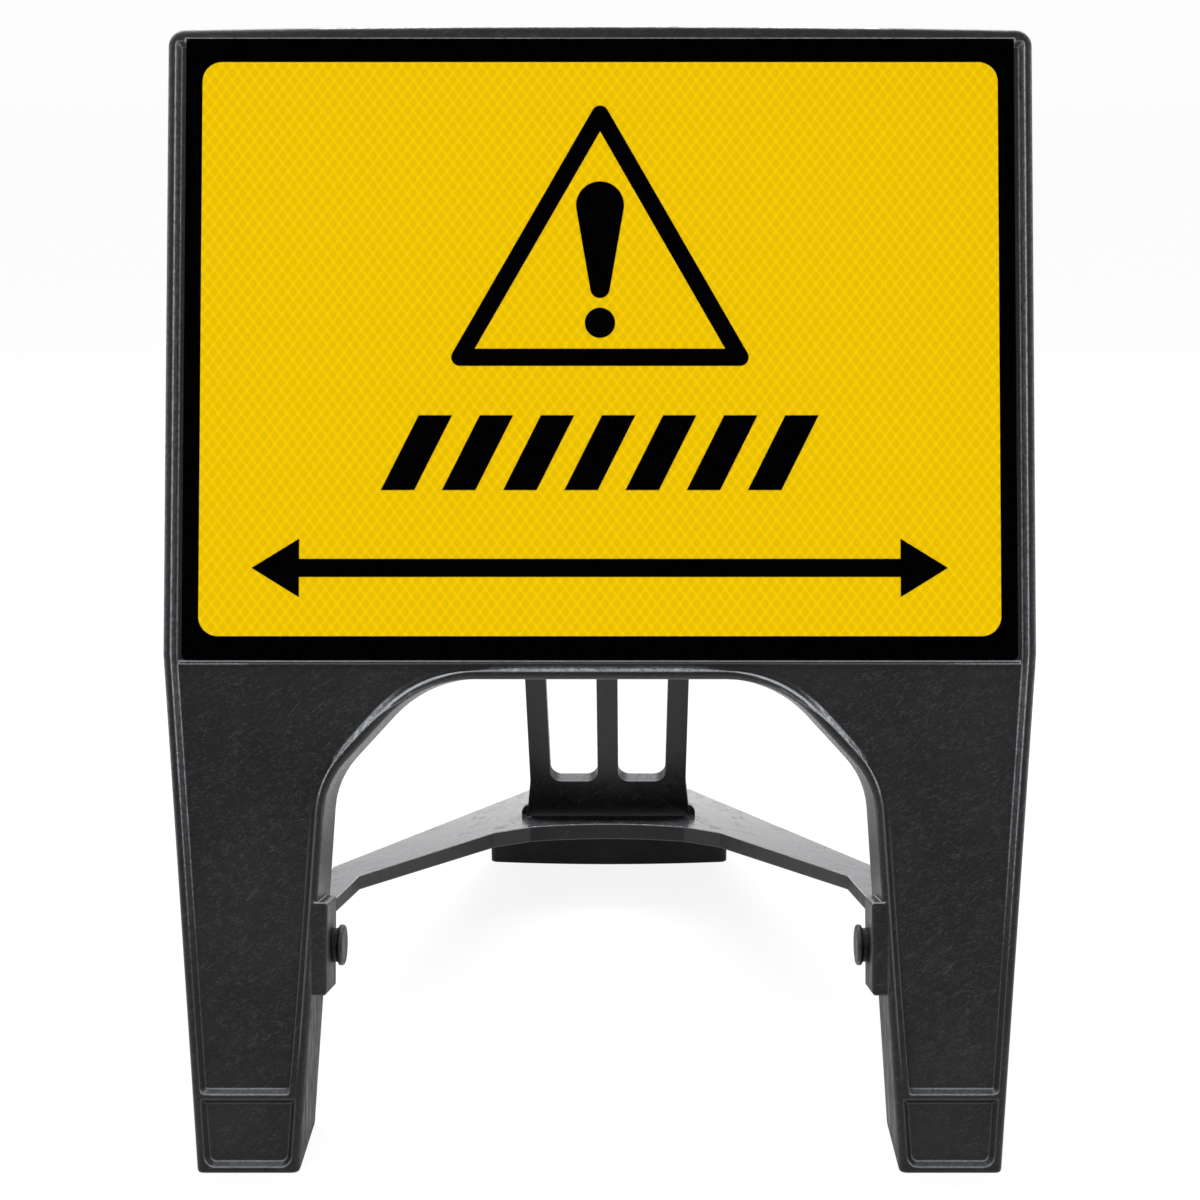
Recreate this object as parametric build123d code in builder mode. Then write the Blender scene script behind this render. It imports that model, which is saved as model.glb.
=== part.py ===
from build123d import *
from math import cos, radians, sin
import os

# Folding roadworks sign: a moulded front frame that carries the sign plate,
# a rear strut hinged under the frame's top, and a brace hinged on the frame's legs.
# The brace carries the rear foot, and the strut stands in a slot of the brace.
# Millimetres, +Z up, +Y away from the reader, origin under the middle on the ground.

# Reach within which a corner is picked, and the overlap of pieces that are fused
near = 1.0
overlap = 1.0

# Stance
lean = 20.0
front_toe_y = -312.81

# Front frame, in its own plane: x across, w up the slope, h towards the reader
frame_half_width = 313.5
frame_height = 824.5
top_crown = 3.3
frame_depth = 59.0
shoulder_w = 368.0
foot_outer_x = 285.5
foot_inner_x = 213.5
toe_w = -3.5
arch_side_x = 196.5
arch_side_w = 275.6
arch_side_radius = 60.0
arch_crown_x = 128.5
arch_crown_w = 350.0
arch_crown_radius = 85.0
front_skin = 9.0
wall = 5.0
rim_height = 4.0
rim_width = 6.0
rim_draft = 40.0
foot_bar_w = 51.5
foot_bar_height = 3.5
toe_rim = 4.0
toe_panel_corner = 8.0
leg_panel_corner = 4.5
front_edge = 3.5
top_corner = 12.0
toe_corner = 7.0
lip_width = 604.0
lip_height = 3.0
lip_thickness = 2.4
lip_gap = 0.6
bay_rows = (470.0, 585.0, 700.0)
leg_rows = (70.0, 225.0)
rib_back = 8.0

# Sign plate and its films
plate_width = 600.0
plate_height = 450.0
plate_bottom_w = 364.0
plate_thickness = 2.5
plate_corner = 4.0
plate_gap = 0.3
tape_length = 520.0
tape_width = 24.0
tape_pitch = 130.0
plate_recess = 4.0
film = 0.3
face_half_width = 288.0
face_bottom_w = 381.0
face_top_w = 797.0
face_corner = 14.0

# Symbols on the face
triangle_apex_w = 759.0
triangle_base_w = 582.0
triangle_half_base = 101.0
triangle_stroke = 12.4
mark_top_w = 692.5
mark_top_radius = 17.3
mark_foot_w = 632.0
mark_foot_radius = 7.0
mark_dot_w = 607.0
mark_dot_radius = 10.9
slash_count = 7
slash_pitch = 44.0
slash_width = 24.0
slash_rise = 54.0
slash_w = 513.0
arrow_half_length = 250.0
arrow_w = 430.0
arrow_head = 34.0
arrow_shaft = 13.0
arrow_barb = 21.0

# Strut hinge, under the top of the frame
hinge_w = 775.0
hinge_h = -44.0
hinge_pin_diameter = 10.0
hinge_bore = 10.1
hinge_boss_radius = 14.0
rib_x = 92.0
rib_thickness = 4.0
hinge_boss_length = 14.0
hinge_pin_half_length = 104.0
hinge_cap_radius = 10.0
hinge_cap_thickness = 4.0

# Brace pivots, in lugs on the inner sides of the legs
pivot_w = 156.5
pivot_h = -31.0
pivot_pin_diameter = 12.0
pivot_bore = 12.1
pivot_head_diameter = 29.6
pivot_head_thickness = 4.5
pivot_head_round = 2.0
pivot_head_stand_off = 3.8
pivot_collar_diameter = 24.5
pivot_collar_gap = 0.3
pivot_pin_end_x = 224.5
lug_inner_x = 194.3
lug_outer_x = 206.0
lug_bottom_w = 125.0
lug_top_w = 191.0
lug_depth = 43.5
lug_edge = 2.5
eye_inner_x = 213.5
eye_outer_x = 219.5
eye_radius = 15.0
neck_back_r = 99.0
clip_diameter = 22.0
clip_thickness = 2.5
clip_gap = 0.6

# Brace, in its own plane: x across, r back, with the plane's origin over the legs
brace_slope = 14.0
brace_origin_y = front_toe_y + 108.455
brace_origin_z = 151.44
brace_edge = 14.0
brace_end_edge = 10.0
brace_web = 6.0
brace_wall = 10.0
brace_end_x = 201.5
brace_end_r = 39.0
brace_bend_x = 195.5
brace_bend_r = 118.0
brace_haunch_x = 101.0
brace_haunch_r = 299.0
brace_front_x = 70.0
brace_front_side_r = 326.0
brace_front_r = 341.0
brace_shoulder_x = 222.0
brace_shoulder_r = 152.0
brace_back_x = 80.0
brace_back_r = 533.0
slot_half_width = 74.0
slot_front_r = 376.5
slot_back_r = 395.5

# Strut, in its own plane: x across, v down from the hinge
strut_half_top = 79.0
strut_half_waist = 72.0
strut_half_base = 78.5
strut_waist_v = 635.0
strut_thickness = 12.0
strut_bar = 19.0
window_top_v = 119.0
window_corner = 11.0
tongue_half_width = 72.0
tongue_half_depth = 4.5
tongue_depth = 4.0
base_gap = 0.5
heel_half_width = 81.5
heel_front_r = 385.0
heel_back_r = 394.0
heel_height = 10.0
heel_corner = 8.0
strut_seat_r = 388.5
strut_foot_run = 20.0
barrel_radius = 13.0
barrel_gap = 0.6

# Rear foot
rear_foot_half_length = 113.0
rear_foot_depth = 26.0
rear_foot_bow = 5.5
rear_foot_corner = 6.0
rear_foot_block = 70.0
rear_foot_y = front_toe_y + 497.5
foot_screw_x = 83.0
foot_screw_r = 428.0
foot_screw_diameter = 5.0
foot_screw_head = 10.0
foot_screw_head_height = 3.0
foot_screw_cover = 2.0
foot_screw_length = 30.0
foot_screw_head_gap = 0.3
foot_post_radius = 9.0
foot_post_root = 4.0

os.makedirs("parts", exist_ok=True)


def save(piece, name):
    piece.part.label = name
    export_step(piece.part, f"parts/{name}.step")


def frame_point(x, w, h):
    """A point of the leaning front frame, in the standing frame."""
    slope = radians(lean)
    return Vector(x, front_toe_y + w * sin(slope) - h * cos(slope), w * cos(slope) + h * sin(slope))


def mirrored(points):
    """An outline of its left-hand points followed by their mirror images."""
    return points + [(-x, y) for x, y in reversed(points)]


front_plane = Plane((0, front_toe_y, 0), x_dir=(1, 0, 0), z_dir=(0, -cos(radians(lean)), sin(radians(lean))))

pivot = frame_point(0, pivot_w, pivot_h)
slope_s = sin(radians(brace_slope))
slope_c = cos(radians(brace_slope))
brace_plane = Plane((0, brace_origin_y, brace_origin_z), x_dir=(1, 0, 0), z_dir=(0, slope_s, slope_c))
pivot_local = brace_plane.to_local_coords(pivot)

hinge = frame_point(0, hinge_w, hinge_h)
seat = brace_plane.from_local_coords(Vector(0, strut_seat_r, base_gap))
strut_length = (seat - hinge).length
strut_plane = Plane(hinge, x_dir=(1, 0, 0), z_dir=(seat - hinge).cross(Vector(1, 0, 0)))


foot_screw_places = [(-foot_screw_x, foot_screw_r), (foot_screw_x, foot_screw_r)]
foot_screw_seat = brace_plane.offset(-foot_screw_cover - foot_screw_length)


# Front frame

frame_outline = mirrored([
    (-arch_crown_x, arch_crown_w),
    (-arch_side_x, arch_side_w),
    (-foot_inner_x, toe_w),
    (-foot_outer_x, toe_w),
    (-frame_half_width, shoulder_w),
    (-frame_half_width, frame_height - top_crown),
])


def corners_at(sketch, w):
    """The corners of an outline at a height up the slope."""
    return sketch.vertices().filter_by_position(Axis.Y, w - near, w + near)


def frame_profile(inset):
    """The frame's front outline with its arch rounded, drawn in by an inset."""
    with BuildSketch(mode=Mode.PRIVATE) as profile:
        with BuildLine():
            half = len(frame_outline) // 2
            Polyline(*frame_outline[half:], *frame_outline[:half])
            ThreePointArc(frame_outline[half - 1], (0, frame_height), frame_outline[half])
        make_face()
        fillet(corners_at(profile, arch_side_w), arch_side_radius)
        fillet(corners_at(profile, arch_crown_w), arch_crown_radius)
        fillet(profile.vertices().group_by(Axis.Y)[0], toe_corner)
        fillet(profile.vertices().group_by(Axis.Y)[-1], top_corner)
        if inset:
            offset(amount=-inset, kind=Kind.INTERSECTION, mode=Mode.REPLACE)
    return profile.sketch


def leg_span(w):
    """The inner and outer edge of a leg at a height up the slope."""
    inner = foot_inner_x + (arch_side_x - foot_inner_x) * w / arch_side_w
    outer = foot_outer_x + (frame_half_width - foot_outer_x) * w / shoulder_w
    return inner, outer


def sunk_panels(low, high, corner):
    """The front panels of both legs between two heights, inside the frame's raised rim."""
    with BuildSketch(mode=Mode.PRIVATE) as panels:
        add(frame_profile(rim_width))
        with Locations((0, (low + high) / 2)):
            Rectangle(2 * frame_half_width, high - low, mode=Mode.INTERSECT)
        fillet(corners_at(panels, low), corner)
    return panels.sketch


with BuildPart() as front_frame:
    with BuildSketch(front_plane):
        add(frame_profile(0))
    extrude(amount=-frame_depth)
    fillet(front_frame.faces().sort_by(Axis(front_plane.origin, front_plane.z_dir))[-1].edges(), front_edge)
    with BuildSketch(front_plane.offset(-front_skin)):
        add(frame_profile(wall))
    extrude(amount=-frame_depth, mode=Mode.SUBTRACT)
    # Pocket of the sign plate
    with BuildSketch(front_plane):
        with Locations((0, plate_bottom_w + plate_height / 2)):
            Rectangle(plate_width + 2 * plate_gap, plate_height + 2 * plate_gap)
    extrude(amount=-plate_recess, mode=Mode.SUBTRACT)
    # Sunk front inside the rim, with drafted sides, and the sunk panels of the toes
    with BuildSketch(front_plane):
        add(sunk_panels(foot_bar_w + foot_bar_height, frame_height - 2 * rim_width, leg_panel_corner))
    extrude(amount=-rim_height, taper=rim_draft, mode=Mode.SUBTRACT)
    with BuildSketch(front_plane):
        add(sunk_panels(toe_rim, foot_bar_w, toe_panel_corner))
    extrude(amount=-rim_height, taper=rim_draft, mode=Mode.SUBTRACT)
    # Lip under the plate
    with BuildSketch(front_plane.offset(-rim_height)):
        with Locations((0, plate_bottom_w - lip_gap - lip_thickness / 2)):
            Rectangle(lip_width, lip_thickness)
    extrude(amount=lip_height)
    # Ribs behind the plate: two tall ones beside the strut and rows across to the sides
    with BuildSketch(front_plane.offset(-front_skin)):
        tall = frame_height - plate_bottom_w - wall
        with Locations((-rib_x, plate_bottom_w + tall / 2), (rib_x, plate_bottom_w + tall / 2)):
            Rectangle(rib_thickness, tall)
        side_run = frame_half_width - rib_x
        for row in bay_rows:
            with Locations((-rib_x - side_run / 2, row), (rib_x + side_run / 2, row)):
                Rectangle(side_run - overlap, rib_thickness)
        for row in leg_rows:
            inner, outer = leg_span(row)
            middle = (inner + outer) / 2
            with Locations((-middle, row), (middle, row)):
                Rectangle(outer - inner - wall, rib_thickness)
    extrude(amount=-(frame_depth - front_skin - rib_back))
    # Bosses of the strut hinge on the tall ribs
    for side in (-1, 1):
        start = frame_point(side * (rib_x - hinge_boss_length / 2), hinge_w, hinge_h)
        with BuildSketch(Plane(start, x_dir=(0, side, 0), z_dir=(side, 0, 0))):
            Circle(hinge_boss_radius)
        extrude(amount=hinge_boss_length)
    # Lugs that carry the brace's pivot pins, flush with the rim
    for side in (-1, 1):
        with BuildPart(mode=Mode.PRIVATE) as lug:
            with BuildSketch(front_plane):
                with Locations((side * (lug_inner_x + lug_outer_x) / 2, (lug_bottom_w + lug_top_w) / 2)):
                    Rectangle(lug_outer_x - lug_inner_x, lug_top_w - lug_bottom_w)
            extrude(amount=-lug_depth)
            free_face = lug.faces().sort_by(Axis.X)[0 if side > 0 else -1]
            fillet(free_face.edges(), lug_edge)
        add(lug.part)
    # Bores of the strut hinge and of the brace pivots
    with BuildSketch(Plane(hinge, x_dir=(0, 1, 0), z_dir=(1, 0, 0))):
        Circle(hinge_pin_diameter / 2)
    extrude(amount=hinge_pin_half_length + overlap, both=True, mode=Mode.SUBTRACT)
    with BuildSketch(Plane(pivot, x_dir=(0, 1, 0), z_dir=(1, 0, 0))):
        Circle(pivot_pin_diameter / 2)
    extrude(amount=pivot_pin_end_x, both=True, mode=Mode.SUBTRACT)
    # Feet cut flat on the ground
    split(bisect_by=Plane.XY, keep=Keep.TOP)

save(front_frame, "front_frame")


# Sign plate, the tape behind it and the films on it

film_plane = front_plane.offset(-plate_recess)
tape_thickness = plate_recess - plate_thickness - 3 * film
plate_middle_w = plate_bottom_w + plate_height / 2

with BuildPart() as plate_tape:
    with BuildSketch(film_plane):
        with GridLocations(0, tape_pitch, 1, 3):
            with Locations((0, plate_middle_w)):
                Rectangle(tape_length, tape_width)
    extrude(amount=tape_thickness)

save(plate_tape, "plate_tape")

with BuildPart() as sign_plate:
    with BuildSketch(film_plane.offset(tape_thickness)):
        with Locations((0, plate_middle_w)):
            RectangleRounded(plate_width, plate_height, plate_corner)
    extrude(amount=plate_thickness)

save(sign_plate, "sign_plate")

border_plane = film_plane.offset(tape_thickness + plate_thickness)
face_plane = border_plane.offset(film)
symbol_plane = face_plane.offset(film)

with BuildPart() as border_film:
    with BuildSketch(border_plane):
        with Locations((0, plate_middle_w)):
            RectangleRounded(plate_width, plate_height, plate_corner)
    extrude(amount=film)

save(border_film, "border_film")

with BuildPart() as reflective_face:
    with BuildSketch(face_plane):
        with Locations((0, (face_bottom_w + face_top_w) / 2)):
            RectangleRounded(2 * face_half_width, face_top_w - face_bottom_w, face_corner)
    extrude(amount=film)

save(reflective_face, "reflective_face")

triangle_points = [
    (0, triangle_apex_w),
    (-triangle_half_base, triangle_base_w),
    (triangle_half_base, triangle_base_w),
]

with BuildPart() as triangle_symbol:
    with BuildSketch(symbol_plane):
        with BuildLine():
            Polyline(*triangle_points, close=True)
        make_face()
        offset(amount=triangle_stroke / 2, kind=Kind.ARC, mode=Mode.REPLACE)
        with BuildSketch(mode=Mode.PRIVATE) as window:
            with BuildLine():
                Polyline(*triangle_points, close=True)
            make_face()
            offset(amount=-triangle_stroke / 2, kind=Kind.INTERSECTION, mode=Mode.REPLACE)
        add(window.sketch, mode=Mode.SUBTRACT)
    extrude(amount=film)

save(triangle_symbol, "triangle_symbol")

with BuildPart() as exclamation_bar:
    with BuildSketch(symbol_plane):
        with Locations((0, mark_top_w)):
            Circle(mark_top_radius)
        with Locations((0, mark_foot_w)):
            Circle(mark_foot_radius)
        make_hull()
    extrude(amount=film)

save(exclamation_bar, "exclamation_bar")

with BuildPart() as exclamation_dot:
    with BuildSketch(symbol_plane):
        with Locations((0, mark_dot_w)):
            Circle(mark_dot_radius)
    extrude(amount=film)

save(exclamation_dot, "exclamation_dot")

with BuildPart() as hazard_slashes:
    with BuildSketch(symbol_plane):
        for index in range(slash_count):
            left = (index - (slash_count - 1) / 2) * slash_pitch - slash_width / 2
            half = slash_rise / 2
            lean_x = half / 2
            with BuildLine():
                Polyline(
                    (left - lean_x, slash_w - half),
                    (left + slash_width - lean_x, slash_w - half),
                    (left + slash_width + lean_x, slash_w + half),
                    (left + lean_x, slash_w + half),
                    close=True,
                )
            make_face()
    extrude(amount=film)

save(hazard_slashes, "hazard_slashes")

with BuildPart() as double_arrow:
    with BuildSketch(symbol_plane):
        head_back = arrow_half_length - arrow_head
        right = [
            (head_back, arrow_w + arrow_shaft / 2),
            (head_back, arrow_w + arrow_barb),
            (arrow_half_length, arrow_w),
            (head_back, arrow_w - arrow_barb),
            (head_back, arrow_w - arrow_shaft / 2),
        ]
        with BuildLine():
            Polyline(*mirrored(right), close=True)
        make_face()
    extrude(amount=film)

save(double_arrow, "double_arrow")


# Strut hinge pin and its end caps, fixed in the frame


def across_at(point, x):
    """A plane square to the x axis through a point, at a place across the sign."""
    return Plane((x, point.Y, point.Z), x_dir=(0, 1, 0), z_dir=(1, 0, 0))


with BuildPart() as strut_hinge_pin:
    with BuildSketch(across_at(hinge, -hinge_pin_half_length)):
        Circle(hinge_pin_diameter / 2)
    extrude(amount=2 * hinge_pin_half_length)

save(strut_hinge_pin, "strut_hinge_pin")

for side_name, side in (("left", -1), ("right", 1)):
    with BuildPart() as hinge_cap:
        with BuildSketch(across_at(hinge, side * (rib_x + hinge_boss_length / 2))):
            Circle(hinge_cap_radius)
            Circle(hinge_pin_diameter / 2, mode=Mode.SUBTRACT)
        extrude(amount=side * hinge_cap_thickness)
    save(hinge_cap, f"{side_name}_hinge_cap")


# Brace pivot pins with their button heads, and the clips inside the legs

for side_name, side in (("left", -1), ("right", 1)):
    head_face_x = lug_inner_x - pivot_head_stand_off
    with BuildPart() as pivot_pin:
        with BuildSketch(across_at(pivot, side * head_face_x)):
            Circle(pivot_pin_diameter / 2)
        extrude(amount=side * (pivot_pin_end_x - head_face_x))
        with BuildSketch(across_at(pivot, side * head_face_x)):
            Circle(pivot_collar_diameter / 2)
        extrude(amount=side * (pivot_head_stand_off - pivot_collar_gap))
        with BuildSketch(across_at(pivot, side * head_face_x)):
            Circle(pivot_head_diameter / 2)
        extrude(amount=-side * pivot_head_thickness)
        rims = pivot_pin.edges().filter_by(GeomType.CIRCLE).sort_by(Edge.radius)[-2:]
        fillet(rims, pivot_head_round)
    save(pivot_pin, f"{side_name}_pivot_pin")

    with BuildPart() as pivot_clip:
        with BuildSketch(across_at(pivot, side * (eye_outer_x + clip_gap))):
            Circle(clip_diameter / 2)
            Circle(pivot_pin_diameter / 2, mode=Mode.SUBTRACT)
        extrude(amount=side * clip_thickness)
    save(pivot_clip, f"{side_name}_pivot_clip")


# Brace

def brace_outline(inset):
    """The brace's plan, drawn in by an inset."""
    front_left = (-brace_front_x, brace_front_side_r)
    front_right = (brace_front_x, brace_front_side_r)
    left = [
        front_left,
        (-brace_haunch_x, brace_haunch_r),
        (-brace_bend_x, brace_bend_r),
        (-brace_end_x, brace_end_r),
        (-brace_shoulder_x, brace_end_r),
        (-brace_shoulder_x, brace_shoulder_r),
        (-brace_back_x, brace_back_r),
    ]
    with BuildSketch(mode=Mode.PRIVATE) as plan:
        with BuildLine():
            Polyline(*mirrored(left))
            ThreePointArc(front_left, (0, brace_front_r), front_right)
        make_face()
        if inset:
            offset(amount=-inset, kind=Kind.INTERSECTION, mode=Mode.REPLACE)
    return plan.sketch


with BuildPart() as brace:
    with BuildSketch(brace_plane):
        add(brace_outline(0))
    extrude(amount=-brace_edge)
    # Hollow underside inside a deep edge
    with BuildSketch(brace_plane.offset(-brace_edge)):
        add(brace_outline(brace_wall))
    extrude(amount=brace_edge - brace_web, mode=Mode.SUBTRACT)
    # Underside rising along the arms to their ends
    with BuildSketch(Plane(brace_plane.origin, x_dir=brace_plane.y_dir, z_dir=brace_plane.x_dir)):
        with BuildLine():
            Polyline(
                (brace_end_r, -brace_end_edge),
                (brace_front_r, -brace_edge),
                (brace_end_r, -brace_edge),
                close=True,
            )
        make_face()
    extrude(amount=brace_shoulder_x, both=True, mode=Mode.SUBTRACT)
    # Slot for the strut's tongue, and the blind holes of the foot screws
    with BuildSketch(brace_plane):
        with Locations((0, (slot_front_r + slot_back_r) / 2)):
            Rectangle(2 * slot_half_width, slot_back_r - slot_front_r)
    extrude(amount=-brace_edge, mode=Mode.SUBTRACT)
    with BuildSketch(brace_plane.offset(-foot_screw_cover)):
        with Locations(*foot_screw_places):
            Circle(foot_screw_diameter / 2)
    extrude(amount=-brace_edge, mode=Mode.SUBTRACT)
    # Necks that reach into the legs, with the eyes that turn on the pivot pins
    for side in (-1, 1):
        neck_plane = Plane(
            brace_plane.from_local_coords(Vector(side * eye_inner_x, 0, 0)),
            x_dir=brace_plane.y_dir,
            z_dir=brace_plane.x_dir,
        )
        with BuildSketch(neck_plane):
            with Locations((pivot_local.Y, pivot_local.Z)):
                Circle(eye_radius)
            with BuildLine():
                Polyline(
                    (pivot_local.Y, pivot_local.Z - eye_radius),
                    (pivot_local.Y, pivot_local.Z + eye_radius),
                    (brace_end_r, 0),
                    (neck_back_r, 0),
                    (neck_back_r, -brace_end_edge),
                    (brace_end_r, -brace_end_edge),
                    close=True,
                )
            make_face()
            with Locations((pivot_local.Y, pivot_local.Z)):
                Circle(pivot_bore / 2, mode=Mode.SUBTRACT)
        extrude(amount=side * (eye_outer_x - eye_inner_x))

save(brace, "brace")


# Rear foot under the brace, with its two screws

with BuildPart() as rear_foot:
    with BuildSketch(Plane.XY):
        with BuildLine():
            ends_y = rear_foot_y + rear_foot_bow
            ThreePointArc(
                (-rear_foot_half_length, ends_y), (0, rear_foot_y), (rear_foot_half_length, ends_y)
            )
            Line((rear_foot_half_length, ends_y), (rear_foot_half_length, ends_y + rear_foot_depth))
            ThreePointArc(
                (rear_foot_half_length, ends_y + rear_foot_depth),
                (0, rear_foot_y + rear_foot_depth),
                (-rear_foot_half_length, ends_y + rear_foot_depth),
            )
            Line((-rear_foot_half_length, ends_y + rear_foot_depth), (-rear_foot_half_length, ends_y))
        make_face()
    extrude(amount=rear_foot_block)
    fillet(rear_foot.edges().filter_by(Axis.Z), rear_foot_corner)
    split(bisect_by=brace_plane.offset(-brace_edge), keep=Keep.BOTTOM)
    with BuildSketch(brace_plane.offset(-brace_web)):
        with Locations(*foot_screw_places):
            Circle(foot_post_radius)
    extrude(amount=-(brace_edge - brace_web + foot_post_root))
    with BuildSketch(brace_plane.offset(-brace_web)):
        with Locations(*foot_screw_places):
            Circle(foot_screw_diameter / 2)
    extrude(amount=-foot_screw_length, mode=Mode.SUBTRACT)
    # Recesses of the screw heads, open at the sole
    with BuildSketch(foot_screw_seat):
        with Locations(*foot_screw_places):
            Circle(foot_screw_head / 2 + foot_screw_head_gap)
    extrude(amount=-rear_foot_block, mode=Mode.SUBTRACT)

save(rear_foot, "rear_foot")

with BuildPart() as rear_foot_screws:
    with BuildSketch(foot_screw_seat):
        with Locations(*foot_screw_places):
            Circle(foot_screw_head / 2)
    extrude(amount=-foot_screw_head_height)
    with BuildSketch(foot_screw_seat):
        with Locations(*foot_screw_places):
            Circle(foot_screw_diameter / 2)
    extrude(amount=foot_screw_length)

save(rear_foot_screws, "rear_foot_screws")


# Rear strut: three bars between a hinge barrel and a flared foot with a tongue

base_plane = brace_plane.offset(base_gap)

with BuildPart() as rear_strut:
    with BuildSketch(strut_plane):
        with BuildLine():
            Polyline(
                *mirrored([
                    (-strut_half_top, 0),
                    (-strut_half_waist, -strut_waist_v),
                    (-strut_half_base, -strut_length - strut_foot_run),
                ]),
                close=True,
            )
        make_face()
        with BuildSketch(mode=Mode.PRIVATE) as windows:
            for side in (-1, 1):
                with BuildLine():
                    Polyline(
                        (side * strut_bar / 2, -window_top_v),
                        (side * strut_bar / 2, -strut_waist_v),
                        (side * (strut_half_waist - strut_bar), -strut_waist_v),
                        (side * (strut_half_top - strut_bar), -window_top_v),
                        close=True,
                    )
                make_face()
            fillet(windows.vertices(), window_corner)
        add(windows.sketch, mode=Mode.SUBTRACT)
    extrude(amount=strut_thickness / 2, both=True)
    split(bisect_by=base_plane, keep=Keep.TOP)
    with BuildSketch(base_plane):
        with Locations((0, strut_seat_r)):
            Rectangle(2 * tongue_half_width, 2 * tongue_half_depth)
    extrude(amount=-tongue_depth)
    # Heel with rounded shoulders, a little wider than the foot
    heel_plane = Plane(
        base_plane.from_local_coords(Vector(0, heel_front_r, 0)),
        x_dir=base_plane.x_dir,
        z_dir=-base_plane.y_dir,
    )
    with BuildPart(mode=Mode.PRIVATE) as heel:
        with BuildSketch(heel_plane):
            with Locations((0, heel_height / 2)):
                Rectangle(2 * heel_half_width, heel_height)
        extrude(amount=heel_front_r - heel_back_r)
        shoulders = heel.edges().filter_by(Axis(heel_plane.origin, heel_plane.z_dir))
        fillet(shoulders.sort_by(Axis(heel_plane.origin, heel_plane.y_dir))[-2:], heel_corner)
    add(heel.part)
    # Hinge barrel
    barrel_half = rib_x - hinge_boss_length / 2 - barrel_gap
    with BuildSketch(across_at(hinge, -barrel_half)):
        Circle(barrel_radius)
    extrude(amount=2 * barrel_half)
    with BuildSketch(across_at(hinge, -barrel_half)):
        Circle(hinge_bore / 2)
    extrude(amount=2 * barrel_half, mode=Mode.SUBTRACT)

save(rear_strut, "rear_strut")
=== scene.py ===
import math

import bpy
from mathutils import Matrix, Vector

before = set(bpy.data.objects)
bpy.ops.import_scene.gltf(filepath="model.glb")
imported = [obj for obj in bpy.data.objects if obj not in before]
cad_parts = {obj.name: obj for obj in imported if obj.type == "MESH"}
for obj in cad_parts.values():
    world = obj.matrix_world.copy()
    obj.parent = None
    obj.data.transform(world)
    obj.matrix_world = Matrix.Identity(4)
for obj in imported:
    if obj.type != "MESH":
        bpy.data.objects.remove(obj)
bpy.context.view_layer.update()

# Looks of a folding roadworks sign, in metres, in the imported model's own frame.
# A pair is where a mask starts and where it ends.

LEAN = math.radians(20.0)           # of the front, backwards
ARM_ANGLE = math.radians(-62.6)     # of the brace's arms, seen from above

ARCH_EDGE = (0.199, 0.212)          # across: the painted highlight on the wall over the arch ends here
ARCH_FOOT = (0.145, 0.17)           # height: that painted highlight starts here
PLATE_FOOT = (0.338, 0.350)         # height: the plate starts here
RIM_EDGE = (0.245, 0.260)           # across: the outer rim starts here
RIM_RISE = (0.12, 0.345)            # height: the painted highlight lines on the rim grow stronger from the toes to the plate
LEG_SIDE_FADE = (0.10, 0.19)        # height: the dull inner sides of the legs end here
UP_FACING = (0.86, 0.95)            # upward part of the normal on a top face
CELL_ACROSS = 0.0082                # the film's diamond cells
CELL_UP = 0.0110
CELL_LINE = (0.04, 0.27)            # distance from the lines, in cells: on them, inside a cell
NOISE_SPREAD = (0.3, 0.7)           # most of a noise lies between these levels

COAT_DARK = (0.0040, 0.0044, 0.0049)
COAT_LIGHT = (0.0080, 0.0085, 0.0092)
WISP_GREY = (0.048, 0.051, 0.056)
SCRATCH_GREY = (0.10, 0.104, 0.112)
# partly wear, partly a painted sheen on top faces
WORN_AND_SHEEN_TOP_GREY = (0.235, 0.245, 0.268)
# partly wear, partly a painted highlight on edges
WORN_AND_HIGHLIGHT_EDGE_GREY = (0.52, 0.54, 0.58)
FILM_LINE_YELLOW = (0.810, 0.520, 0.0006)
FILM_CELL_YELLOW = (0.680, 0.437, 0.0006)


# Node helpers

def new_material(name):
    """An empty node material with its output and one principled shader."""
    material = bpy.data.materials.new(name)
    material.use_nodes = True
    tree = material.node_tree
    shader = tree.nodes["Principled BSDF"]
    return material, tree, shader


def node(tree, kind, **settings):
    """A node of one kind; settings are its properties, and in_NAME its input values."""
    made = tree.nodes.new(kind)
    for key, value in settings.items():
        if key.startswith("in_"):
            made.inputs[key[3:].replace("_", " ")].default_value = value
        else:
            setattr(made, key, value)
    return made


def math_node(tree, operation, first, second=None):
    """One arithmetic step; a number is set on the socket and an output is linked."""
    made = node(tree, "ShaderNodeMath", operation=operation)
    for socket, value in zip(made.inputs, (first, second)):
        if value is None:
            continue
        if isinstance(value, (int, float)):
            socket.default_value = value
        else:
            tree.links.new(value, socket)
    return made.outputs[0]


def product(tree, first, second):
    """Two values multiplied: of two masks, what lies in both."""
    return math_node(tree, "MULTIPLY", first, second)


def split(tree, vector):
    """A vector's three parts: across, depth and height."""
    made = node(tree, "ShaderNodeSeparateXYZ")
    tree.links.new(vector, made.inputs[0])
    return made.outputs


def dot_product(tree, first, second):
    """The sum of the products of two vectors' parts; plain numbers are set and an output is linked."""
    made = node(tree, "ShaderNodeVectorMath", operation="DOT_PRODUCT")
    tree.links.new(first, made.inputs[0])
    if isinstance(second, tuple):
        made.inputs[1].default_value = second
    else:
        tree.links.new(second, made.inputs[1])
    return made.outputs["Value"]


def object_point(tree):
    """The place on the piece in Object coordinates."""
    return node(tree, "ShaderNodeTexCoord").outputs["Object"]


def own_normal(tree):
    """The surface normal in the piece's own axes."""
    return node(tree, "ShaderNodeTexCoord").outputs["Normal"]


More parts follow.
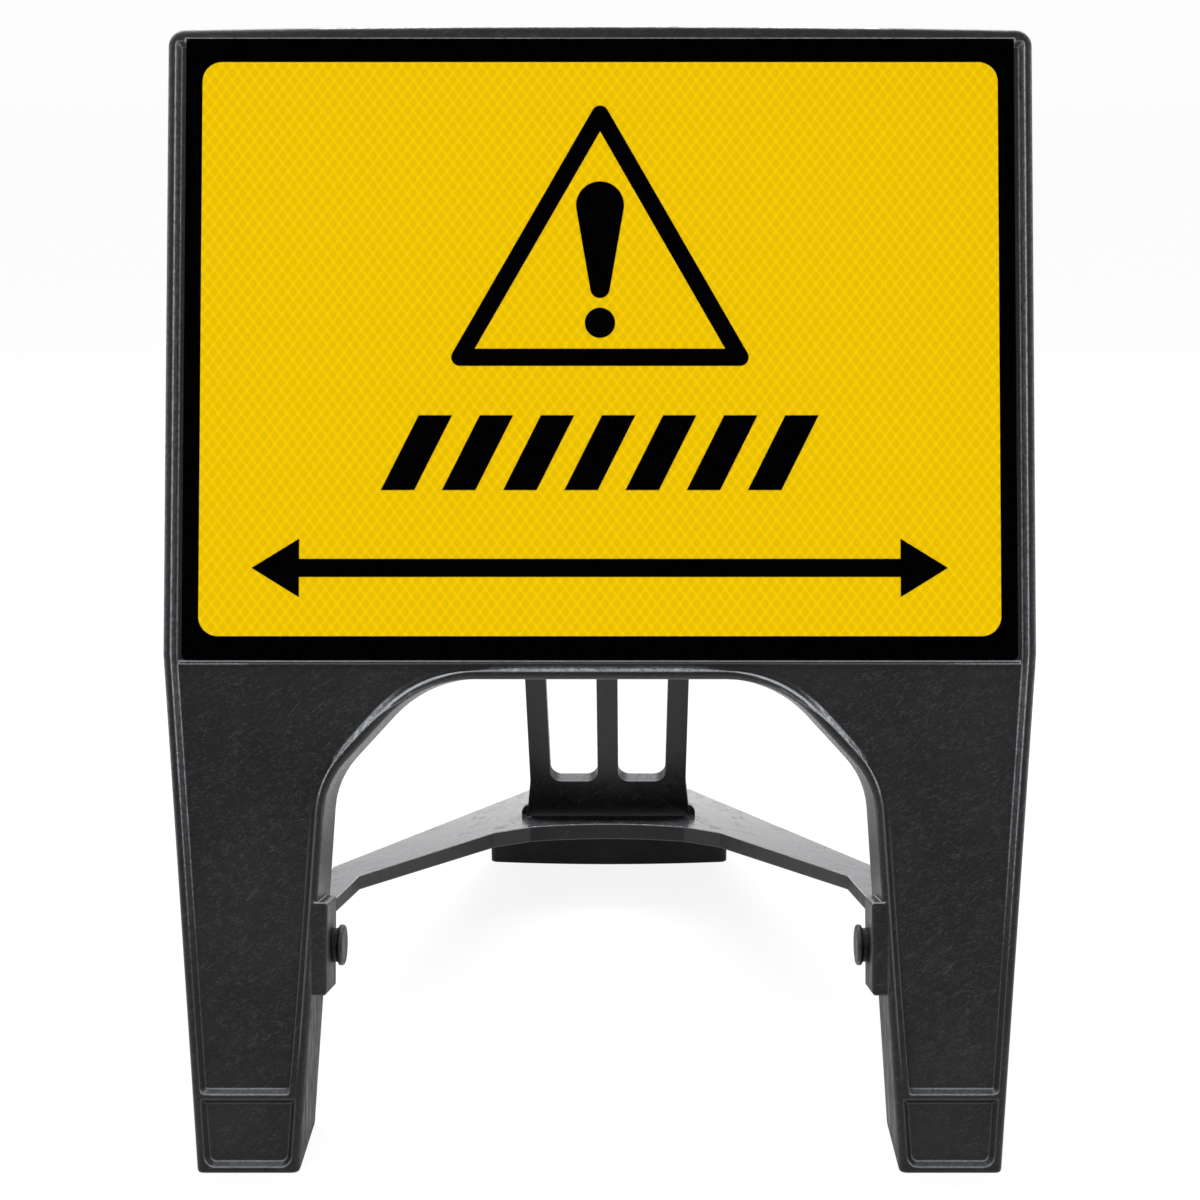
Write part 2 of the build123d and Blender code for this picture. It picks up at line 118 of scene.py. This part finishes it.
def turned_axes(tree, point, angles, stretch):
    """A point seen along turned axes, each multiplied by its own stretch."""
    made = node(tree, "ShaderNodeMapping", vector_type="TEXTURE")
    made.inputs["Rotation"].default_value = angles
    made.inputs["Scale"].default_value = [1.0 / factor for factor in stretch]
    tree.links.new(point, made.inputs["Vector"])
    return made.outputs["Vector"]


def mapped(tree, axes=None, stretch=(1, 1, 1)):
    """Object coordinates seen along turned axes, each multiplied by its own stretch."""
    angles = axes.to_euler() if axes else (0, 0, 0)
    return turned_axes(tree, object_point(tree), angles, stretch)


def leaning(turn=0.0):
    """The axes of the leaning front: across, into the frame and up the slope, turned in that plane."""
    return Matrix.Rotation(-LEAN, 3, "X") @ Matrix.Rotation(-turn, 3, "Y")


def noise(tree, vector, scale, detail=4.0, rough=0.55, swirl=0.0):
    """Fractal noise over a vector, bent by a swirl."""
    made = node(tree, "ShaderNodeTexNoise", in_Scale=scale, in_Detail=detail, in_Roughness=rough,
                in_Distortion=swirl)
    tree.links.new(vector, made.inputs["Vector"])
    return made.outputs["Fac"]


def ramp(tree, factor, stops):
    """A colour ramp through (place, colour) stops."""
    made = node(tree, "ShaderNodeValToRGB")
    points = made.color_ramp.elements
    while len(points) < len(stops):
        points.new(0.5)
    for point, (place, colour) in zip(points, stops):
        point.position = place
        point.color = (*colour, 1.0)
    tree.links.new(factor, made.inputs["Fac"])
    return made.outputs["Color"]


def grey(level):
    """A neutral colour of one linear level."""
    return (level, level, level)


def fade(tree, factor, ends, levels=(0.0, 1.0)):
    """A level that goes straight from one to the other between two values of the factor."""
    return ramp(tree, factor, [(end, grey(level)) for end, level in zip(ends, levels)])


def band(tree, factor, rise, fall):
    """A mask that rises between two values of the factor, stays at one and falls between two more."""
    ends = (*rise, *fall)
    return ramp(tree, factor, [(end, grey(level)) for end, level in zip(ends, (0.0, 1.0, 1.0, 0.0))])


def mixed(tree, factor, first, second, way="MIX"):
    """Two colours mixed by a factor; outputs are linked, plain numbers and colours set."""
    made = node(tree, "ShaderNodeMix", data_type="RGBA", blend_type=way)
    if isinstance(factor, float):
        made.inputs["Factor"].default_value = factor
    else:
        tree.links.new(factor, made.inputs["Factor"])
    for socket, value in zip((made.inputs[6], made.inputs[7]), (first, second)):
        if isinstance(value, tuple):
            socket.default_value = (*value, 1.0)
        else:
            tree.links.new(value, socket)
    return made.outputs[2]


def finish(tree, shader, colour=None, rough=None, **constants):
    """Links colour and roughness to the shader and sets its constant values, named as its sockets are."""
    if colour:
        tree.links.new(colour, shader.inputs["Base Color"])
    if rough:
        tree.links.new(rough, shader.inputs["Roughness"])
    for socket, value in constants.items():
        shader.inputs[socket.replace("_", " ")].default_value = value


def bumped(tree, shader, height, strength, distance, normal=None):
    """A bump from a height output onto the shader's normal."""
    made = node(tree, "ShaderNodeBump", in_Strength=strength, in_Distance=distance)
    tree.links.new(height, made.inputs["Height"])
    if normal:
        tree.links.new(normal, made.inputs["Normal"])
    tree.links.new(made.outputs["Normal"], shader.inputs["Normal"])


# Masks and normals

def rounded_edges(tree, radius):
    """The normal of softly rounded edges, and a mask that grows with its angle to the true normal."""
    growth = 7.0
    rounded = node(tree, "ShaderNodeBevel", samples=6, in_Radius=radius).outputs["Normal"]
    true = node(tree, "ShaderNodeNewGeometry").outputs["True Normal"]
    apart = math_node(tree, "SUBTRACT", 1.0, dot_product(tree, rounded, true))
    return rounded, product(tree, apart, growth)


def own_axes(tree, normal):
    """A world normal turned into the piece's own axes, so that the edge wear and painted highlights move with
    a moving piece.
    """
    made = node(tree, "ShaderNodeVectorTransform", vector_type="NORMAL", convert_from="WORLD",
                convert_to="OBJECT")
    tree.links.new(normal, made.inputs[0])
    return made.outputs[0]


def hollow_shade(tree, reach):
    """One on open faces, falling in hollows and inner corners within a reach."""
    return node(tree, "ShaderNodeAmbientOcclusion", samples=6, in_Distance=reach).outputs["AO"]


def facing_up(tree):
    """Zero on steep faces, one on faces whose own normal points up."""
    return fade(tree, split(tree, own_normal(tree))[2], UP_FACING)


def arm_scuffs(tree):
    """Marks along the brace's arms, mirrored across the middle: drawn-out streaks, and thin curls where a
    second noise passes its middle level."""
    across, depth, height = split(tree, object_point(tree))
    folded = node(tree, "ShaderNodeCombineXYZ")
    for socket, value in zip(folded.inputs, (math_node(tree, "ABSOLUTE", across), depth, height)):
        tree.links.new(value, socket)
    along = turned_axes(tree, folded.outputs[0], (0, 0, ARM_ANGLE), (1, 4, 1))
    streak = noise(tree, along, scale=19.0, detail=7.0, rough=0.66, swirl=1.8)
    level = noise(tree, along, scale=15.0, detail=2.0, rough=0.5, swirl=1.4)
    curl = band(tree, level, (0.470, 0.495), (0.505, 0.530))
    broken = fade(tree, noise(tree, along, scale=30.0, detail=2.0), (0.46, 0.56))
    return streak, product(tree, curl, broken)


def front_ridge_highlights(tree, normal, edge):
    """Painted highlights on the frame's front edges, as the larger of two masks: the panel walls that face up
    over the arch, and the lines round the plate, fainter where they run level."""
    wall_share, edge_share = 0.16, 2.2
    front = dot_product(tree, normal, (0, -math.cos(LEAN), math.sin(LEAN)))
    turned = band(tree, front, (0.40, 0.62), (0.80, 0.95))
    sideways, _, upwards = split(tree, normal)
    across, _, height = split(tree, object_point(tree))
    aside = math_node(tree, "ABSOLUTE", across)

    arch = product(tree, fade(tree, aside, ARCH_EDGE, (1.0, 0.0)), fade(tree, height, ARCH_FOOT))
    arch = product(tree, product(tree, arch, fade(tree, upwards, (0.335, 0.41))), turned)

    rim = product(tree, fade(tree, aside, RIM_EDGE), fade(tree, height, RIM_RISE, (0.0, 0.9)))
    plate = math_node(tree, "MAXIMUM", fade(tree, height, PLATE_FOOT), rim)
    lines = math_node(tree, "ADD", product(tree, turned, wall_share), product(tree, edge, edge_share))
    upright = fade(tree, math_node(tree, "ABSOLUTE", sideways), (0.08, 0.30), (0.25, 1.0))
    lines = product(tree, lines, upright)
    return math_node(tree, "MAXIMUM", arch, product(tree, plate, lines))


def inner_sides(tree):
    """One low on the legs' faces that look at each other, where the normal and the place across are
    opposed."""
    sideways = split(tree, own_normal(tree))[0]
    across, _, height = split(tree, object_point(tree))
    outward = product(tree, sideways, math_node(tree, "SIGN", across))
    inner = fade(tree, product(tree, outward, -1.0), (0.85, 0.95))
    return product(tree, inner, fade(tree, height, LEG_SIDE_FADE, (1.0, 0.0)))


# Finishes

def moulded_plastic(name, shade_reach=0.018, shade_start=0.45, relief_depth=0.45,
                    highlit_ridges=False, scuffed=False):
    """Recycled black plastic: curled wisps in a leathery skin, scratches, pale edges that are partly wear and
    partly a painted highlight, tops partly worn and partly a painted sheen, and painted shade in hollows.
    With its ridge flag a piece also gets painted highlights on the frame's front edges, a scuffed one the
    brace's slick top."""
    wisp_share, scratch_share, top_wear_and_sheen_share = 0.40, 0.35, 0.30
    rubbed_rough, scuff_rough = 0.16, 0.31
    material, tree, shader = new_material(name)
    place = mapped(tree)
    skin = noise(tree, place, scale=330.0, detail=5.0, rough=0.6)
    cloud = noise(tree, place, scale=9.0)
    patch = noise(tree, place, scale=130.0, detail=3.0)
    flow = noise(tree, mapped(tree, leaning(0.45), (1, 2.4, 3.0)), scale=170.0, swirl=2.0)
    hair = noise(tree, mapped(tree, leaning(0.85), (1, 14, 20)), scale=34.0, detail=3.0, rough=0.5, swirl=0.6)
    streak, curl = arm_scuffs(tree) if scuffed else (hair, None)

    # The coat's colour, from the base to the marks on top of it
    colour = ramp(tree, cloud, list(zip(NOISE_SPREAD, (COAT_DARK, COAT_LIGHT))))
    wisp = product(tree, fade(tree, flow, (0.52, 0.70)), fade(tree, patch, (0.38, 0.6), (0.35, 1.0)))
    colour = mixed(tree, product(tree, wisp, wisp_share), colour, WISP_GREY)
    scratch = fade(tree, hair, (0.69, 0.75))
    colour = mixed(tree, product(tree, scratch, scratch_share), colour, SCRATCH_GREY)
    # Tops paler: partly wear, partly a painted sheen from light above
    top = product(tree, facing_up(tree), top_wear_and_sheen_share)
    top = product(tree, top, fade(tree, streak, (0.36, 0.62), (0.35, 1.0)))
    colour = mixed(tree, top, colour, WORN_AND_SHEEN_TOP_GREY)

    # Pale edges: partly wear, partly a painted highlight, strongest where they face up
    normal, edge = rounded_edges(tree, 0.0018)
    own = own_axes(tree, normal)
    upward = fade(tree, split(tree, own)[2], (0.34, 0.58), (0.15, 1.0))
    grain = math_node(tree, "ADD", product(tree, skin, 2.2), -0.15)
    edge_wear_and_highlight = product(tree, math_node(tree, "MINIMUM", product(tree, edge, grain), 1.0), upward)
    # On the frame, painted highlights along its front edges join the pale edges
    if highlit_ridges:
        speckle = fade(tree, skin, (0.36, 0.62), (0.30, 1.0))
        ridge_highlights = product(tree, front_ridge_highlights(tree, own, edge), speckle)
        edge_wear_and_highlight = math_node(tree, "MAXIMUM", edge_wear_and_highlight, ridge_highlights)
    # Pale edges mixed in: partly wear, partly a painted highlight
    colour = mixed(tree, edge_wear_and_highlight, colour, WORN_AND_HIGHLIGHT_EDGE_GREY)
    # Painted shade: darker in hollows and inner corners
    shade = fade(tree, hollow_shade(tree, shade_reach), (shade_start, 0.95), (0.20, 1.0))
    colour = mixed(tree, 1.0, colour, shade, way="MULTIPLY")

    # Roughness: slick on the brace's top, dull on the legs' inner sides
    rough = fade(tree, cloud, NOISE_SPREAD, (0.27, 0.40))
    if scuffed:
        slick = fade(tree, streak, (0.38, 0.62), (0.09, 0.23))
        slick = mixed(tree, curl, slick, grey(scuff_rough))
        rough = mixed(tree, facing_up(tree), rough, slick)
    drawn = noise(tree, mapped(tree, None, (1, 1, 0.13)), scale=240.0, detail=5.0, rough=0.6)
    rough = mixed(tree, inner_sides(tree), rough, fade(tree, drawn, (0.35, 0.65), (0.45, 0.75)))
    rough = mixed(tree, edge_wear_and_highlight, rough, grey(rubbed_rough))

    finish(tree, shader, colour, rough, Specular_IOR_Level=0.37)
    relief = product(tree, math_node(tree, "ADD", skin, streak if scuffed else wisp), 0.5)
    bumped(tree, shader, relief, relief_depth, 0.0006, normal)
    return material


def black_film():
    """Smooth black sign film with a faint orange peel."""
    material, tree, shader = new_material("black_film")
    peel = noise(tree, mapped(tree), scale=300.0, detail=3.0)
    tone = fade(tree, peel, NOISE_SPREAD, (0.0003, 0.0008))
    finish(tree, shader, tone, fade(tree, peel, NOISE_SPREAD, (0.55, 0.65)), Specular_IOR_Level=0.0)
    bumped(tree, shader, peel, 0.08, 0.0002)
    return material


def yellow_film():
    """Prismatic film: two crossed sets of slanted lines part darker diamond cells. The distance from the
    lines is the root of the product of the distances to the two sets, each folded back and forth over a
    cell."""
    material, tree, shader = new_material("yellow_reflective")
    parts = split(tree, mapped(tree, leaning()))
    across = product(tree, parts[0], 1.0 / CELL_ACROSS)
    up = product(tree, parts[2], 1.0 / CELL_UP)
    rise = math_node(tree, "PINGPONG", math_node(tree, "ADD", across, up), 0.5)
    fall = math_node(tree, "PINGPONG", math_node(tree, "SUBTRACT", across, up), 0.5)
    apart = math_node(tree, "SQRT", product(tree, rise, fall))
    colour = ramp(tree, apart, list(zip(CELL_LINE, (FILM_LINE_YELLOW, FILM_CELL_YELLOW))))
    finish(tree, shader, colour, fade(tree, apart, CELL_LINE, (0.40, 0.55)), Specular_IOR_Level=0.02)
    bumped(tree, shader, apart, 0.05, 0.0004)
    return material


def plate_plastic():
    """Grey extruded sheet with faint draw lines."""
    material, tree, shader = new_material("plate_plastic")
    lines = noise(tree, mapped(tree, leaning(), (1, 14, 14)), scale=90.0, detail=3.0)
    tone = fade(tree, lines, NOISE_SPREAD, (0.25, 0.31))
    finish(tree, shader, tone, fade(tree, lines, NOISE_SPREAD, (0.38, 0.5)))
    bumped(tree, shader, lines, 0.1, 0.0003)
    return material


def foam_tape():
    """Black closed-cell foam."""
    material, tree, shader = new_material("foam_tape")
    cells = node(tree, "ShaderNodeTexVoronoi", in_Scale=900.0)
    tree.links.new(mapped(tree), cells.inputs["Vector"])
    size = cells.outputs["Distance"]
    finish(tree, shader, fade(tree, size, (0.0, 0.6), (0.004, 0.012)), Roughness=0.9)
    bumped(tree, shader, size, 0.4, 0.0004)
    return material


def plated_steel():
    """Bright zinc plating with fine turning lines and a dull bloom."""
    material, tree, shader = new_material("plated_steel")
    lines = noise(tree, mapped(tree, None, (6, 1, 1)), scale=700.0, detail=3.0)
    bloom = noise(tree, mapped(tree), scale=120.0)
    colour = ramp(tree, bloom, list(zip(NOISE_SPREAD, ((0.36, 0.37, 0.38), (0.52, 0.52, 0.51)))))
    finish(tree, shader, colour, fade(tree, lines, NOISE_SPREAD, (0.24, 0.42)), Metallic=1.0)
    bumped(tree, shader, lines, 0.12, 0.0002)
    return material


def dark_steel():
    """Blackened screw heads with a worn, oily sheen."""
    material, tree, shader = new_material("dark_steel")
    wear = noise(tree, mapped(tree), scale=400.0)
    normal, edge = rounded_edges(tree, 0.0005)
    colour = ramp(tree, wear, [(0.4, (0.016, 0.016, 0.018)), (0.7, (0.05, 0.05, 0.052))])
    colour = mixed(tree, edge, colour, grey(0.22))
    finish(tree, shader, colour, fade(tree, wear, NOISE_SPREAD, (0.36, 0.55)), Metallic=0.7)
    bumped(tree, shader, wear, 0.2, 0.0003, normal)
    return material


def foot_rubber():
    """Dense black rubber, matt, with a fine grain and dusty patches."""
    material, tree, shader = new_material("foot_rubber")
    grain = noise(tree, mapped(tree), scale=520.0, detail=5.0, rough=0.6)
    dust = noise(tree, mapped(tree), scale=26.0, detail=5.0)
    normal, edge = rounded_edges(tree, 0.0015)
    colour = ramp(tree, dust, [(0.45, (0.0045, 0.0046, 0.0048)), (0.8, grey(0.013))])
    colour = mixed(tree, edge, colour, (0.05, 0.05, 0.052))
    finish(tree, shader, colour, fade(tree, grain, NOISE_SPREAD, (0.62, 0.8)), Specular_IOR_Level=0.3)
    bumped(tree, shader, grain, 0.35, 0.0005, normal)
    return material


finishes = {
    "frame_black": moulded_plastic("frame_black", highlit_ridges=True),
    "moulded_black": moulded_plastic("moulded_black"),
    "scuffed_black": moulded_plastic("scuffed_black", shade_reach=0.04, shade_start=0.58,
                                     relief_depth=0.065, scuffed=True),
    "black_film": black_film(),
    "yellow_reflective": yellow_film(),
    "plate_plastic": plate_plastic(),
    "foam_tape": foam_tape(),
    "plated_steel": plated_steel(),
    "dark_steel": dark_steel(),
    "foot_rubber": foot_rubber(),
}

finish_nodes = {
    "frame_black": ("front_frame",),
    "moulded_black": ("rear_strut", "left_pivot_pin", "right_pivot_pin"),
    "scuffed_black": ("brace",),
    "black_film": ("border_film", "triangle_symbol", "exclamation_bar", "exclamation_dot",
                   "hazard_slashes", "double_arrow"),
    "yellow_reflective": ("reflective_face",),
    "plate_plastic": ("sign_plate",),
    "foam_tape": ("plate_tape",),
    "plated_steel": ("strut_hinge_pin", "left_hinge_cap", "right_hinge_cap",
                     "left_pivot_clip", "right_pivot_clip"),
    "dark_steel": ("rear_foot_screws",),
    "foot_rubber": ("rear_foot",),
}

node_finish = {name: finishes[look] for look, names in finish_nodes.items() for name in names}
for name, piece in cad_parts.items():
    piece.data.materials.clear()
    piece.data.materials.append(node_finish[name])


# Floor, light and camera

def pale_floor():
    """A wide white floor: mostly plain white to the eye, with a share of its real shading for the shadow."""
    half = 12.0
    white_share = 0.88
    gloss_share = 0.5
    mesh = bpy.data.meshes.new("floor")
    corners = [(-half, -half, 0), (half, -half, 0), (half, half, 0), (-half, half, 0)]
    mesh.from_pydata(corners, [], [(0, 1, 2, 3)])
    floor = bpy.data.objects.new("floor", mesh)
    bpy.context.scene.collection.objects.link(floor)
    material, tree, shader = new_material("floor_white")
    finish(tree, shader, Base_Color=(*grey(0.90), 1.0), Roughness=0.9, Specular_IOR_Level=0.1)
    white = node(tree, "ShaderNodeEmission", in_Strength=1.0)
    path = node(tree, "ShaderNodeLightPath")
    gloss = product(tree, path.outputs["Is Glossy Ray"], gloss_share)
    seen = math_node(tree, "MAXIMUM", path.outputs["Is Camera Ray"], gloss)
    blend = node(tree, "ShaderNodeMixShader")
    tree.links.new(product(tree, seen, white_share), blend.inputs[0])
    tree.links.new(shader.outputs[0], blend.inputs[1])
    tree.links.new(white.outputs[0], blend.inputs[2])
    tree.links.new(blend.outputs[0], tree.nodes["Material Output"].inputs["Surface"])
    mesh.materials.append(material)


def white_room():
    """A white backdrop to the eye; as light, a studio that is bright above and behind and dim in front: the
    level is a half, plus shares of the direction's backward and upward parts."""
    behind_share, above_share = 0.23, 0.28
    eye_white = 0.98
    world = bpy.data.worlds.new("room")
    bpy.context.scene.world = world
    world.use_nodes = True
    tree = world.node_tree
    direction = split(tree, node(tree, "ShaderNodeTexCoord").outputs["Generated"])
    behind = product(tree, direction[1], behind_share)
    above = product(tree, direction[2], above_share)
    level = math_node(tree, "ADD", math_node(tree, "ADD", behind, above), 0.5)
    glow = fade(tree, level, (0.25, 0.75), (0.22, 1.0))
    path = node(tree, "ShaderNodeLightPath")
    colour = mixed(tree, path.outputs["Is Camera Ray"], glow, grey(eye_white))
    back = tree.nodes["Background"]
    tree.links.new(colour, back.inputs["Color"])
    back.inputs["Strength"].default_value = 1.0


def soft_box(name, place, aim, size, power, shiny=True):
    """An area lamp at a place, turned to an aim, of a width and a height; a dull one leaves no highlight."""
    lamp = bpy.data.lights.new(name, "AREA")
    lamp.shape = "RECTANGLE"
    lamp.size, lamp.size_y = size
    lamp.energy = power
    holder = bpy.data.objects.new(name, lamp)
    holder.location = place
    holder.rotation_euler = (Vector(aim) - Vector(place)).to_track_quat("-Z", "Y").to_euler()
    holder.visible_glossy = shiny
    holder.visible_camera = False
    bpy.context.scene.collection.objects.link(holder)


def photo_camera():
    """The camera of the photograph: 18 degrees down, a little to the right, with the plate kept central."""
    downward = 17.97
    lens = bpy.data.cameras.new("photo")
    lens.sensor_width = 36.0
    lens.lens = 57.2
    lens.shift_x = -0.030
    lens.clip_end = 60.0
    camera = bpy.data.objects.new("photo", lens)
    camera.location = (0.026, -1.4748, 0.8044)
    camera.rotation_euler = (math.radians(90.0 - downward), 0, 0)
    bpy.context.scene.collection.objects.link(camera)
    bpy.context.scene.camera = camera


pale_floor()
white_room()
soft_box("key", place=(-0.9, -0.4, 2.6), aim=(0, 0, 0.3), size=(1.2, 1.2), power=15.0)
soft_box("top", place=(0, 0.95, 2.0), aim=(0, -0.1, 0.4), size=(3.4, 0.4), power=75.0)
soft_box("fill", place=(0.4, -2.4, 1.4), aim=(0, 0, 0.4), size=(1.5, 1.5), power=18.0, shiny=False)
photo_camera()
bpy.context.scene.view_settings.view_transform = "Standard"
